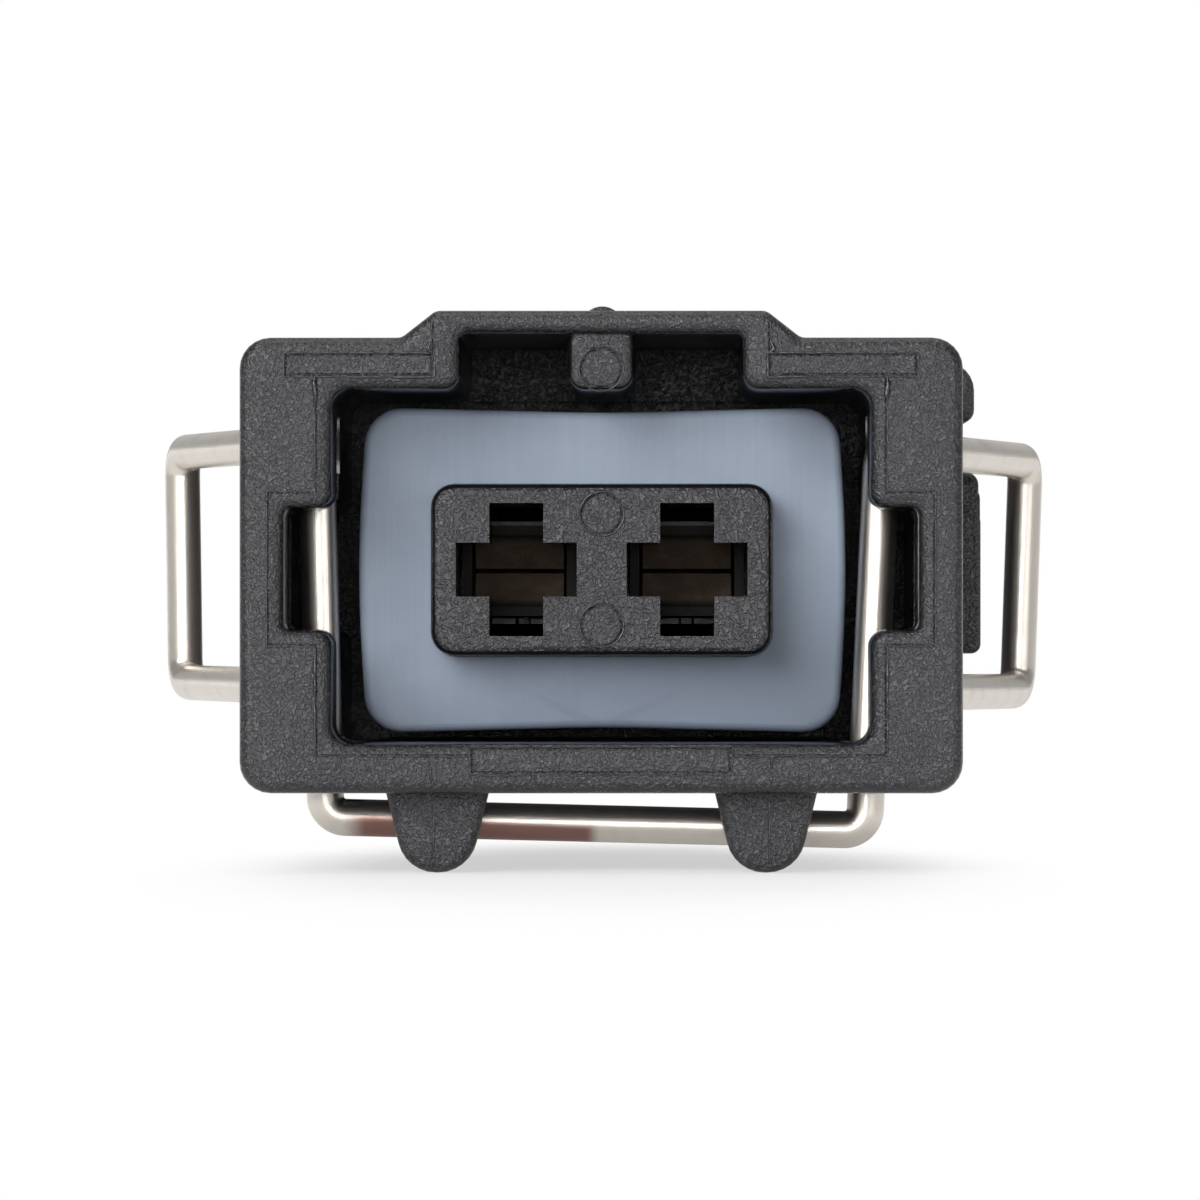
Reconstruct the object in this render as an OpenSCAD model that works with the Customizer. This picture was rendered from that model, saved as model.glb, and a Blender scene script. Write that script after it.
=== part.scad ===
// Two-way flat-blade connector with a rubber seal and a bent-wire locking clip.
// X runs across the two contacts, Y from the mating face back to the wires, and Z up.
// The origin lies in the plane of the mating face, midway between the contacts.

/* [Hood] */
// Width of the socket inside the hood
cavity_w = 15.6; // [15:0.1:18]
// Socket floor below the contact axis
cavity_below = 5.05; // [4.9:0.05:6]
// Socket ceiling above the contact axis
cavity_above = 5.2; // [4.9:0.05:6]
// Depth of the socket behind the mating face
cavity_depth = 15; // [14:0.5:18]
// Corner radius inside the socket
cavity_corner_r = 0.5; // [0.2:0.05:0.8]
// Thickness of the hood's side walls
side_wall = 2.7; // [2.5:0.05:3.5]
// Thickness of the hood's bottom wall
bottom_wall = 1.46; // [1.2:0.02:2]
// Thickness of the hood's top wall beside the crown
top_wall = 1.52; // [1.2:0.02:1.6]
// Corner radius of the hood seen from the front
hood_corner_r = 0.9; // [0.5:0.05:1.5]
// Rounding of the hood's front edge
front_edge_r = 0.35; // [0.1:0.05:0.4]
// Rounding of the hood's rear shoulder
shoulder_r = 0.8; // [0.3:0.1:1]
// Rounding of the socket's mouth
lip_r = 0.35; // [0.1:0.05:0.4]
// Wall left behind the slot of the contact lock
hood_rear = 3.9; // [2:0.1:8]

/* [Keyways and lug grooves] */
// Width over both keyways in the socket's ceiling
keyway_w = 8.16; // [6:0.02:10]
// Height of the keyways above the socket's ceiling
keyway_rise = 1.62; // [1:0.02:2.2]
// Keyway ends ahead of the socket's floor
keyway_short = 1; // [0.4:0.1:2]
// Wall over the keyways
crown_wall = 0.68; // [0.4:0.02:1.2]
// Wall beside the keyways at the crown's top
crown_side = 0.72; // [0.4:0.02:1.5]
// Run of the crown's sloped flanks
crown_slope = 1; // [0.4:0.1:1.6]
// Rounding where the crown and its flanks meet the hood
crown_r = 0.4; // [0.36:0.02:0.6]
// Width of the rib between the keyways
rib_w = 1.94; // [1.6:0.02:2.6]
// Rib face behind the mating face
rib_set_back = 0.4; // [0.1:0.05:1]
// Height of the lug grooves in the side walls
groove_h = 3.5; // [3:0.1:4.5]
// Depth of the lug grooves into the side walls
groove_depth = 1.4; // [1:0.05:1.6]
// Rounding of the convex corners inside the mouth
mouth_r = 0.5; // [0.46:0.02:0.7]
// Rounding at the bottom of the grooves and keyways
root_r = 0.2; // [0.1:0.05:0.3]

/* [Tongues and trim] */
// Distance between the two guard tongues
tongue_pitch = 9.6; // [7:0.1:12]
// Width of a tongue at the hood
tongue_w = 3.24; // [2.6:0.02:4]
// Width of a tongue across its tip corners
tongue_tip_w = 1.84; // [1.4:0.02:2.4]
// Drop of a tongue below the hood
tongue_drop = 2.34; // [1.8:0.02:3]
// Rounding of a tongue's tip
tongue_tip_r = 1.12; // [0.6:0.02:1.12]
// Tongue face behind the mating face
tongue_set_back = 1.5; // [1:0.1:1.8]
// Rounding of the edges of tongues, rib and tower
small_edge_r = 0.27; // [0.1:0.01:0.3]
// Radius of the low round pip on the crown
pip_r = 0.65; // [0.4:0.05:0.8]
// How far the pip stands out of the crown
pip_stand = 0.27; // [0.15:0.01:0.4]
// Length of the pip
pip_len = 4; // [2:0.5:8]
// Pip behind the mating face
pip_set_back = 4; // [2:0.5:8]
// How far the side tab stands out of the right-hand wall
tab_stand = 0.95; // [0.6:0.05:1.4]
// Lower edge of the side tab above the contact axis
tab_low = 4.67; // [4.5:0.01:4.9]
// Height of the side tab
tab_h = 1.9; // [1.2:0.1:2]
// Length of the side tab along the hood
tab_len = 3; // [2:0.5:4]
// Rounding of the side tab's lower edge
tab_low_r = 0.4; // [0.3:0.05:0.6]
// Rounding of the side tab's upper edge
tab_top_r = 0.9; // [0.3:0.05:0.9]
// How far the stop behind the contact lock stands out of the right-hand wall
stop_stand = 1.2; // [0.8:0.02:1.4]
// Lower edge of the stop above the contact axis
stop_low = 1.6; // [1.2:0.1:2]
// Height of the stop
stop_h = 1.6; // [1:0.1:1.8]
// Length of the stop along the hood
stop_len = 1.6; // [1:0.1:2]
// Width of the grooves that outline the mould insert marks
mark_groove = 0.08; // [0.04:0.01:0.1]
// Depth of the mould marks
mark_depth = 0.09; // [0.03:0.01:0.1]
// Height of the two upper insert marks
mark_top_h = 0.64; // [0.4:0.02:0.64]
// Length of the two upper insert marks
mark_top_len = 4.3; // [2:0.1:4.3]
// Height of the lower insert mark
mark_low_h = 0.76; // [0.5:0.02:0.8]
// Length of the lower insert mark
mark_low_len = 7.54; // [4:0.1:8]
// Lower insert mark below the socket's floor
mark_low_gap = 0.13; // [0.1:0.01:0.2]
// Insert face behind the mating face
insert_set_back = 0.02; // [0.01:0.01:0.04]
// Width of the parting lines on the mating face
parting_w = 0.06; // [0.04:0.01:0.1]
// Depth of the parting lines
parting_depth = 0.06; // [0.03:0.01:0.1]
// Parting lines beyond the rounded lip of the socket
parting_gap = 0.1; // [0.06:0.01:0.2]
// Radius of the round ejector marks
ejector_r = 0.62; // [0.4:0.02:0.66]

/* [Contacts] */
// Distance between the two contacts
contact_pitch = 5; // [4.6:0.1:6]
// Width of the contact box
contact_w = 3.4; // [3.1:0.05:3.7]
// Height of the contact box
contact_h = 2.7; // [2.5:0.05:3]
// Contact sheet thickness
contact_t = 0.28; // [0.2:0.02:0.3]
// Contact mouth behind the tower face
contact_set_back = 4.8; // [3:0.1:6]
// Rear of the contact box behind the socket floor
contact_behind = 3.5; // [3.2:0.1:5]
// Length of the lead-in of the blade springs
spring_lead = 1.1; // [0.8:0.1:2]
// Width of the strip behind the contact box
strip_w = 1.5; // [1:0.1:1.6]
// Length of the strip behind the contact box
strip_len = 2.5; // [2.2:0.1:4]
// Length of the conductor barrel
conductor_barrel_len = 3.5; // [2:0.1:5]
// Outer radius of the conductor barrel
conductor_barrel_r = 1.2; // [1:0.05:1.3]
// Length of the insulation barrel
insulation_barrel_len = 2.5; // [1.5:0.1:4]
// Outer radius of the insulation barrel
insulation_barrel_r = 1.4; // [1.25:0.05:1.5]
// Gap between the two barrels
barrel_gap = 0.6; // [0.4:0.1:1.2]
// Thickness of the steel sleeve round the contact
sleeve_t = 0.2; // [0.15:0.01:0.25]
// Length of the steel sleeve
sleeve_len = 5; // [4.5:0.1:8]
// Width of a locking lance
lance_w = 1.4; // [1:0.1:1.8]
// How far a lance stands out of the sleeve
lance_rise = 0.8; // [0.5:0.05:1]
// Lance tips ahead of the rear of the contact box
lance_ahead = 0.5; // [0.3:0.1:0.8]

/* [Tower] */
// Tower face behind the mating face
tower_set_back = 2.2; // [1:0.1:4]
// Tower wall beside the contacts
tower_side = 0.5; // [0.4:0.05:0.8]
// Tower wall above and below the contacts
tower_cap = 0.86; // [0.7:0.02:1.1]
// Corner radius of the tower
tower_corner_r = 0.7; // [0.4:0.05:1]
// Width of the cross openings
cross_w = 3.54; // [3.2:0.02:3.8]
// Height of the cross openings
cross_h = 3.9; // [3.4:0.02:4.2]
// Width of the bars of the cross openings
cross_slot = 1.58; // [1:0.02:2]

/* [Face seal] */
// Seal face behind the tower face
seal_step = 2; // [0.6:0.1:3]
// Gap between the seal and the socket's sides
seal_side_gap = 0.53; // [0.35:0.02:1]
// Gap between the seal's corners and the socket's floor
seal_floor_gap = 0.24; // [0.2:0.01:0.6]
// How far the seal's sides bulge out between its corners
seal_bulge = 0.32; // [0.1:0.02:0.4]
// How far the seal's long edges draw in between its corners
seal_waist = 0.17; // [0:0.01:0.4]
// Corner radius of the seal
seal_corner_r = 1.1; // [0.8:0.05:1.6]
// Thickness of the seal's front lip
seal_lip_t = 1.6; // [1:0.1:3]
// Depth of the groove behind the front lip
seal_groove = 0.8; // [0.3:0.05:1.1]
// Rounding of the seal's edges
seal_edge_r = 0.25; // [0.1:0.01:0.3]
// Thickness of the seal's rear flange
seal_flange_t = 1.2; // [0.8:0.1:2]
// Number of ribs between the lip and the flange
seal_ribs = 2; // [1:1:3]

/* [Spring clip] */
// Wire diameter
wire_d = 1.1; // [0.8:0.05:1.2]
// Legs behind the mating face
leg_set_back = 4; // [3.6:0.1:6]
// Leg centre outside the socket wall
leg_inset = 0.41; // [0.3:0.01:0.6]
// Inward lean of the legs towards the bar in degrees
leg_lean = 2.1; // [0:0.1:3]
// Mean gap between the hood and the centre of the bar
bar_drop = 0.96; // [0.8:0.02:1.3]
// How much lower the bar's right end is bent than its left end
bar_slant = 0.22; // [0:0.02:0.4]
// Ear arms above and below the contact axis
ear_level = 3.55; // [3.4:0.05:3.8]
// How much further the upper arms are from the contact axis than the lower ones
ear_rise = 0.15; // [0:0.05:0.2]
// Ear wire outside the hood's side wall
ear_stand = 2.7; // [2:0.05:4]
// Ear wire behind the contact lock
ear_behind_lock = 1; // [0.8:0.1:3]
// How much further out the ears stand at the top than at the bottom
ear_splay = 0.18; // [0:0.02:0.4]
// Free ends of the lower arms behind the legs
arm_end = 3.5; // [2:0.1:4.5]
// Centre-line bend radius at the ears
ear_bend_r = 0.76; // [0.62:0.02:1.4]
// Centre-line bend radius at the bar
bar_bend_r = 0.62; // [0.62:0.02:1]
// Clearance round the wire in the housing
clip_gap = 0.15; // [0.1:0.05:0.2]
// Outward travel of the legs when the ears are squeezed
clip_travel = 0.4; // [0.2:0.05:0.5]
// Sideways shift of the clip to the left in its channels
clip_shift = 0.13; // [0:0.01:0.15]
// Turn of the clip in its channels, clockwise from the front, in degrees
clip_roll = 0.6; // [0:0.1:0.8]

/* [Contact lock] */
// Thickness of the lock along the connector
lock_t = 1.4; // [1:0.1:2]
// Thickness of the lock's two prongs
prong_h = 0.6; // [0.5:0.05:0.8]
// Travel of the lock between its closed and open places
lock_stroke = 1.1; // [1.1:0.05:1.4]
// Thickness of the lock's head
head_t = 1.1; // [0.8:0.02:1.4]
// Rounding of the head's corners
head_corner_r = 0.3; // [0.2:0.02:0.4]
// Rounding of the head's edges
head_edge_r = 0.14; // [0.05:0.01:0.18]
// Underside of the head below the contact axis
head_below = 2.5; // [2.2:0.05:2.7]
// Top of the head's front plate above the contact axis
head_above = 1.9; // [1.4:0.05:2.1]
// Height of the rounded shoulder above the front plate
head_shoulder = 0.88; // [0.5:0.02:0.9]
// Shoulder behind the head's front
shoulder_set_back = 0.6; // [0.3:0.05:0.9]

/* [Wire grommet] */
// Radius of the grommet's pocket round each wire
grommet_r = 3.5; // [3:0.05:4]
// Length of the grommet inside the neck
grommet_len = 6; // [4:0.5:9]
// Wall of the neck round the grommet
neck_wall = 1.2; // [0.8:0.05:1.6]
// Depth of the grooves between the grommet's lips
grommet_groove = 0.35; // [0.2:0.05:0.6]
// Number of lips on the grommet
grommet_lips = 3; // [2:1:4]
// Thickness of the grommet's rear flange
flange_t = 0.8; // [0.5:0.1:1.5]
// Radius of the wire holes
wire_hole_r = 0.95; // [0.7:0.05:1.2]

/* [Fits] */
// Clearance of sliding fits
slide_gap = 0.1; // [0.06:0.02:0.14]
// Clearance of rubber on plastic and sheet on sheet
snug_gap = 0.03; // [0.01:0.01:0.06]
// Clearance between a contact sleeve and its chamber
chamber_gap = 0.08; // [0.04:0.02:0.14]

/* [Hidden] */
$fn = 48;
over = 0.5;
least_r = 0.05;
corner_steps = 6;
round_steps = 12;
edge_steps = 3;
bend_steps = 6;
wire_sides = 18;
wire_chamfer = wire_d / 10;
hood_w = cavity_w + 2 * side_wall;
hood_below = cavity_below + bottom_wall;
hood_above = cavity_above + top_wall;
keyway_top = cavity_above + keyway_rise;
crown_top = keyway_top + crown_wall;
crown_half = keyway_w / 2 + crown_side;
chamber_w = contact_w + 2 * (snug_gap + sleeve_t + chamber_gap);
chamber_h = contact_h + 2 * (snug_gap + sleeve_t + chamber_gap);
tower_w = contact_pitch + chamber_w + 2 * tower_side;
tower_h = chamber_h + 2 * tower_cap;
contact_y = tower_set_back + contact_set_back;
box_end_y = cavity_depth + contact_behind;
lance_end_y = box_end_y - lance_ahead;
lock_y = box_end_y + slide_gap;
lock_end_y = lock_y + lock_t;
hood_len = lock_end_y + slide_gap + hood_rear;
conductor_y = box_end_y + strip_len;
insulation_y = conductor_y + conductor_barrel_len + barrel_gap;
contact_end_y = insulation_y + insulation_barrel_len;
grommet_y = contact_end_y + slide_gap;
neck_end_y = grommet_y + grommet_len;
seal_y = tower_set_back + seal_step;
prong_low = chamber_h / 2;
prong_top = prong_low + prong_h;
tooth_w = contact_pitch - chamber_w - slide_gap;
leg_x = cavity_w / 2 + leg_inset;
ear_x = hood_w / 2 + ear_stand;
ear_y = lock_end_y + ear_behind_lock;
flare = (ear_x - leg_x - ear_level * tan(leg_lean)) / (ear_y - leg_set_back);
bar_level = hood_below + bar_drop;
arm_play = clip_shift + ear_level * sin(clip_roll);
bar_play = clip_shift + bar_level * sin(clip_roll);
wire_room = wire_d / 2 + clip_gap;

// Outlines in the XZ plane, anticlockwise from the front, each corner as [x, z, radius]
function rounded_box(left, right, low, high, r) =
    [[left, low, r], [right, low, r], [right, high, r], [left, high, r]];

hood_outline = [
    [-hood_w / 2, -hood_below, hood_corner_r],
    [hood_w / 2, -hood_below, hood_corner_r],
    [hood_w / 2, hood_above, hood_corner_r],
    [crown_half + crown_slope, hood_above, crown_r],
    [crown_half, crown_top, crown_r],
    [-crown_half, crown_top, crown_r],
    [-crown_half - crown_slope, hood_above, crown_r],
    [-hood_w / 2, hood_above, hood_corner_r]];

// Right half of the socket's outline, from its lower right corner to the keyway
socket_half = [
    [cavity_w / 2, -cavity_below, cavity_corner_r],
    [cavity_w / 2, -groove_h / 2, mouth_r],
    [cavity_w / 2 + groove_depth, -groove_h / 2, root_r],
    [cavity_w / 2 + groove_depth, groove_h / 2, root_r],
    [cavity_w / 2, groove_h / 2, mouth_r],
    [cavity_w / 2, cavity_above, cavity_corner_r],
    [keyway_w / 2, cavity_above, mouth_r],
    [keyway_w / 2, keyway_top, root_r]];
socket_outline = concat(socket_half,
    [for (i = [len(socket_half) - 1:-1:0]) [-socket_half[i].x, socket_half[i].y, socket_half[i].z]]);

tower_outline = rounded_box(-tower_w / 2, tower_w / 2, -tower_h / 2, tower_h / 2, tower_corner_r);

seal_half_w = cavity_w / 2 - seal_side_gap;
seal_half_h = cavity_below - seal_floor_gap;
seal_soft_r = 40;
seal_outline = [
    [-seal_half_w + seal_bulge, -seal_half_h, seal_corner_r],
    [0, -seal_half_h + seal_waist, seal_soft_r],
    [seal_half_w - seal_bulge, -seal_half_h, seal_corner_r],
    [seal_half_w, 0, seal_soft_r],
    [seal_half_w - seal_bulge, seal_half_h, seal_corner_r],
    [0, seal_half_h - seal_waist, seal_soft_r],
    [-seal_half_w + seal_bulge, seal_half_h, seal_corner_r],
    [-seal_half_w, 0, seal_soft_r]];

neck_r = grommet_r + neck_wall;
neck_half_w = contact_pitch / 2 + neck_r;
neck_outline = rounded_box(-neck_half_w, neck_half_w, -neck_r, neck_r, neck_r - least_r);

// Outward normal of the edge from a to b
function outward(a, b) = [b.y - a.y, a.x - b.x] / norm(b - a);
function turned(v, angle) = [v.x * cos(angle) - v.y * sin(angle), v.x * sin(angle) + v.y * cos(angle)];
function flat(p) = [p.x, p.y];

// Arc that rounds corner p between its neighbours a and b, with the outline moved out by grow
function corner_arc(a, p, b, r, grow, steps) =
    let (
        n1 = outward(a, p),
        n2 = outward(p, b),
        angle = atan2(cross(n1, n2), n1 * n2),
        side = angle < 0 ? -1 : 1,
        radius = max(r + side * grow, least_r),
        mitre = (n1 + n2) / (1 + n1 * n2),
        centre = p + (grow - side * radius) * mitre
    )
    [for (i = [0:steps]) centre + side * radius * turned(n1, angle * i / steps)];

function outline(corners, grow, steps) =
    let (n = len(corners))
    [for (i = [0:n - 1]) each corner_arc(flat(corners[(i + n - 1) % n]), flat(corners[i]),
        flat(corners[(i + 1) % n]), corners[i].z, grow, steps)];

// Rings of a rounded edge, each [y, grow]: an outer edge at its front or rear, or a mouth
function front_round(y, r, base = 0) =
    [for (i = [0:edge_steps]) let (a = 90 * i / edge_steps) [y + r * (1 - cos(a)), base - r * (1 - sin(a))]];
function rear_round(y, r, base = 0) =
    [for (i = [0:edge_steps]) let (a = 90 * i / edge_steps) [y - r * (1 - sin(a)), base - r * (1 - cos(a))]];
function mouth_round(y, r) =
    [for (i = [0:edge_steps]) let (a = 90 * i / edge_steps) [y + r * (1 - cos(a)), r * (1 - sin(a))]];

// Rings of evenly spaced ribs from y0 to y1, each rib rising from low to high and back
function rib_rings(y0, y1, count, low, high) =
    let (pitch = (y1 - y0) / count)
    [for (i = [0:count - 1]) for (mark = [[0, low], [1 / 3, low], [1 / 2, high], [5 / 6, high]])
        [y0 + pitch * (i + mark[0]), mark[1]]];

// Closed solid through rings of n points each, with a middle point for each end
module skin(rings, first, last) {
    n = len(rings[0]);
    m = len(rings);
    sides = [for (k = [0:m - 2]) for (i = [0:n - 1])
        let (j = (i + 1) % n, a = k * n)
        each [[a + i, a + j, a + n + j], [a + i, a + n + j, a + n + i]]];
    caps = [for (i = [0:n - 1])
        let (j = (i + 1) % n, a = (m - 1) * n)
        each [[m * n, j, i], [m * n + 1, a + i, a + j]]];
    polyhedron(points = concat([for (ring = rings) each ring], [first, last]), faces = concat(sides, caps));
}

// Closed solid through one outline's rings along Y
module loft(corners, rings, steps = corner_steps) {
    xs = [for (c = corners) c.x];
    zs = [for (c = corners) c.y];
    mid = [min(xs) + max(xs), min(zs) + max(zs)] / 2;
    skin([for (ring = rings) [for (p = outline(corners, ring[1], steps)) [p.x, ring[0], p.y]]],
        [mid.x, rings[0][0], mid.y], [mid.x, rings[len(rings) - 1][0], mid.y]);
}

// Box between two corners
module block(low, high) {
    translate(low)
        cube(high - low);
}

// Cylinder along Y
module rod_y(x, z, y0, y1, r) {
    translate([x, y0, z])
        rotate([-90, 0, 0])
            cylinder(r = r, h = y1 - y0);
}

// Bent wire through a list of points, each bend with its own radius
function unit(v) = v / norm(v);

// Stations along one bend, each [point, direction]
function bend(a, p, b, r) =
    let (
        d1 = unit(p - a),
        d2 = unit(b - p),
        angle = acos(d1 * d2),
        x = cross(d1, unit(cross(d1, d2))),
        centre = p - d1 * r * tan(angle / 2) - x * r
    )
    [for (i = [0:bend_steps]) let (t = angle * i / bend_steps)
        [centre + r * (x * cos(t) + d1 * sin(t)), d1 * cos(t) - x * sin(t)]];

// Directions across the wire, each carried on from the one before it
function across(stations, v, i = 0) =
    i == len(stations) ? []
    : let (d = stations[i][1], u = unit(v - (v * d) * d)) concat([u], across(stations, u, i + 1));

module wire(points, radii) {
    last = len(points) - 1;
    d_first = unit(points[1] - points[0]);
    d_last = unit(points[last] - points[last - 1]);
    bends = [for (i = [1:last - 1]) each bend(points[i - 1], points[i], points[i + 1], radii[i])];
    stations = concat(
        [[points[0], d_first], [points[0] + d_first * wire_chamfer, d_first]],
        bends,
        [[points[last] - d_last * wire_chamfer, d_last], [points[last], d_last]]);
    sideways = across(stations, [0, 0, 1]);
    m = len(stations);
    skin([for (k = [0:m - 1])
        let (u = sideways[k], w = cross(u, stations[k][1]),
            r = wire_d / 2 - (k == 0 || k == m - 1 ? wire_chamfer : 0))
        [for (i = [0:wire_sides - 1]) let (t = 360 * i / wire_sides)
            stations[k][0] + r * (u * cos(t) + w * sin(t))]],
        points[0], points[last]);
}

// One side of the clip from the bar outwards: side is -1 on the left and 1 on the right
function arm_x(y) = leg_x + ear_level * tan(leg_lean) + flare * (y - leg_set_back);
function settled(p) = [
    p.x * cos(clip_roll) + p.z * sin(clip_roll) - clip_shift,
    p.y,
    p.z * cos(clip_roll) - p.x * sin(clip_roll)];
function clip_side(side) =
    let (bar_x = leg_x - bar_level * tan(leg_lean), end_y = leg_set_back + arm_end)
    [for (p = [
        [side * bar_x, leg_set_back, -bar_level - side * bar_slant / 2],
        [side * arm_x(leg_set_back), leg_set_back, ear_level + ear_rise],
        [side * (ear_x + ear_splay / 2), ear_y, ear_level + ear_rise],
        [side * (ear_x - ear_splay / 2), ear_y, -ear_level],
        [side * (arm_x(end_y) - ear_splay / 2), end_y, -ear_level]]) settled(p)];

// Space in a side wall for one leg and the two arms that leave it
module clip_channel(side) {
    half = wire_d / 2 * sqrt(1 + flare * flare);
    inner = -half - clip_gap - ear_splay / 2 - arm_play;
    outer = half + clip_gap + clip_travel + arm_play;
    leg_in = leg_x - bar_level * tan(leg_lean) - bar_play - wire_room;
    leg_out = arm_x(leg_set_back) + arm_play + wire_room + clip_travel;
    start = leg_set_back - wire_room / 2;
    past = hood_w / 2 + over;
    arm_room = wire_room + ear_x * sin(clip_roll);
    function edge_y(x, offset) = leg_set_back + (x - offset - arm_x(leg_set_back)) / flare;
    mirror([side < 0 ? 1 : 0, 0, 0]) {
        block([leg_in, leg_set_back - wire_room, -hood_below - over],
            [leg_out, leg_set_back + wire_room, ear_level + ear_rise + wire_room / 2]);
        for (z = [-ear_level, ear_level + ear_rise])
            translate([0, 0, z - arm_room])
                linear_extrude(2 * arm_room)
                    polygon([
                        [arm_x(start) + inner, start],
                        [arm_x(start) + outer, start],
                        [past, edge_y(past, outer)],
                        [past, edge_y(past, inner)]]);
    }
}

// Shallow groove round a rectangle on the mating face
module insert_mark(x, z, length, height) {
    half = [length / 2, height / 2];
    difference() {
        block([x - half.x, -over, z - half.y], [x + half.x, mark_depth, z + half.y]);
        block([x - half.x + mark_groove, -2 * over, z - half.y + mark_groove],
            [x + half.x - mark_groove, over, z + half.y - mark_groove]);
    }
}

// Fine groove on the mating face through points that lie level with or upright from each other
module parting_line(points) {
    half = parting_w / 2;
    for (i = [1:len(points) - 1])
        let (a = points[i - 1], b = points[i])
            block([min(a.x, b.x) - half, -over, min(a.y, b.y) - half],
                [max(a.x, b.x) + half, parting_depth, max(a.y, b.y) + half]);
}

// Insert marks and parting lines of one half of the mating face
module face_marks(side) {
    lip = lip_r + parting_gap;
    mark_x = (crown_half + hood_w / 2 - front_edge_r - hood_corner_r) / 2;
    mark_z = (cavity_above + hood_above - mark_groove) / 2;
    wall_x = cavity_w / 2 + lip;
    lug_x = wall_x + groove_depth;
    lug_z = groove_h / 2 + lip;
    insert_mark(side * mark_x, mark_z, mark_top_len, mark_top_h);
    parting_line([for (p = [
        [wall_x, mark_z - mark_top_h / 2], [wall_x, lug_z], [lug_x, lug_z], [lug_x, -lug_z], [wall_x, -lug_z],
        [wall_x, -cavity_below - lip_r], [mark_low_len / 2, -cavity_below - lip_r]]) [side * p.x, p.y]]);
    parting_line([for (z = [mark_z + mark_top_h / 2, crown_top - front_edge_r])
        [side * (mark_x - mark_top_len / 2), z]]);
}

// Shallow round groove left by an ejector pin on a face at y
module ejector_mark(z, y) {
    difference() {
        rod_y(0, z, y - over, y + mark_depth, ejector_r);
        rod_y(0, z, y - 2 * over, y + over, ejector_r - mark_groove);
    }
}

module tongue(x) {
    tongue_end_y = leg_set_back - wire_room - clip_gap;
    corners = [
        [x - tongue_w / 2, -hood_below + over, least_r],
        [x - tongue_tip_w / 2, -hood_below - tongue_drop, tongue_tip_r],
        [x + tongue_tip_w / 2, -hood_below - tongue_drop, tongue_tip_r],
        [x + tongue_w / 2, -hood_below + over, least_r]];
    loft(corners, concat(front_round(tongue_set_back, small_edge_r), rear_round(tongue_end_y, small_edge_r)));
}

module side_tab() {
    corners = [
        [hood_w / 2 - side_wall / 2, tab_low, least_r],
        [hood_w / 2 + tab_stand, tab_low, tab_low_r],
        [hood_w / 2 + tab_stand, tab_low + tab_h, tab_top_r],
        [hood_w / 2 - side_wall / 2, tab_low + tab_h, least_r]];
    loft(corners, concat(front_round(lock_y - tab_len / 2, small_edge_r),
        rear_round(lock_y + tab_len / 2, small_edge_r)));
}

module lock_stop() {
    stop_y = lock_end_y + 2 * slide_gap;
    corners = [
        [hood_w / 2 - side_wall / 2, stop_low, least_r],
        [hood_w / 2 + stop_stand, stop_low, tab_low_r],
        [hood_w / 2 + stop_stand, stop_low + stop_h, tab_low_r],
        [hood_w / 2 - side_wall / 2, stop_low + stop_h, least_r]];
    loft(corners, concat(front_round(stop_y, small_edge_r), rear_round(stop_y + stop_len, small_edge_r)));
}

module blade_openings() {
    for (x = [-contact_pitch / 2, contact_pitch / 2]) {
        block([x - cross_w / 2, tower_set_back - over, -cross_slot / 2],
            [x + cross_w / 2, contact_y - slide_gap + least_r, cross_slot / 2]);
        block([x - cross_slot / 2, tower_set_back - over, -cross_h / 2],
            [x + cross_slot / 2, cavity_depth + 2 * slide_gap, cross_h / 2]);
    }
}

module contact_chambers() {
    lance_half = contact_h / 2 + snug_gap + sleeve_t + lance_rise + slide_gap;
    for (x = [-contact_pitch / 2, contact_pitch / 2]) {
        block([x - chamber_w / 2, contact_y - slide_gap, -chamber_h / 2],
            [x + chamber_w / 2, grommet_y + over, chamber_h / 2]);
        block([x - lance_w / 2 - slide_gap, cavity_depth + slide_gap, -lance_half],
            [x + lance_w / 2 + slide_gap, lance_end_y + slide_gap, lance_half]);
    }
}

module lock_slot() {
    block([-contact_pitch / 2 - chamber_w / 2 - 2 * slide_gap, lock_y - slide_gap, -prong_top - slide_gap],
        [hood_w / 2 + over, lock_end_y + slide_gap, prong_top + slide_gap]);
}

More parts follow.
